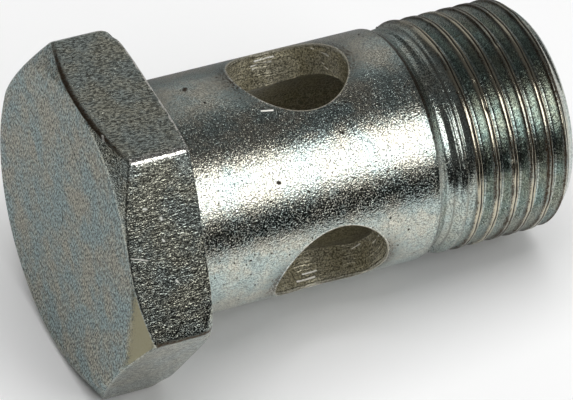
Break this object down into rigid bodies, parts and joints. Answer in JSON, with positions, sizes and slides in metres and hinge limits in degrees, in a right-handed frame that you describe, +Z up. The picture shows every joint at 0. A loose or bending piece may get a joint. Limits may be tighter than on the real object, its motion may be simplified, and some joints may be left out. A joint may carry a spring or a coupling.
{
  "type": "banjo bolt",
  "caption": "Hollow hexagon-head screw that clamps a pipe eye and passes fluid from its end bore to radial cross holes.",
  "frame": {"origin": "centre of the head's bearing face, where the bolt's axis crosses it", "axes": "+X from the head to the threaded end, dipping 5.5 degrees because the bolt lies on one flat and its thread; +Z up"},
  "size_m": [0.04, 0.0276, 0.0244],
  "materials": {
    "plated_steel": "zinc plated, satin, handled"
  },
  "bodies": {
    "root": {"banjo_bolt": "plated_steel"}
  },
  "joints": []
}
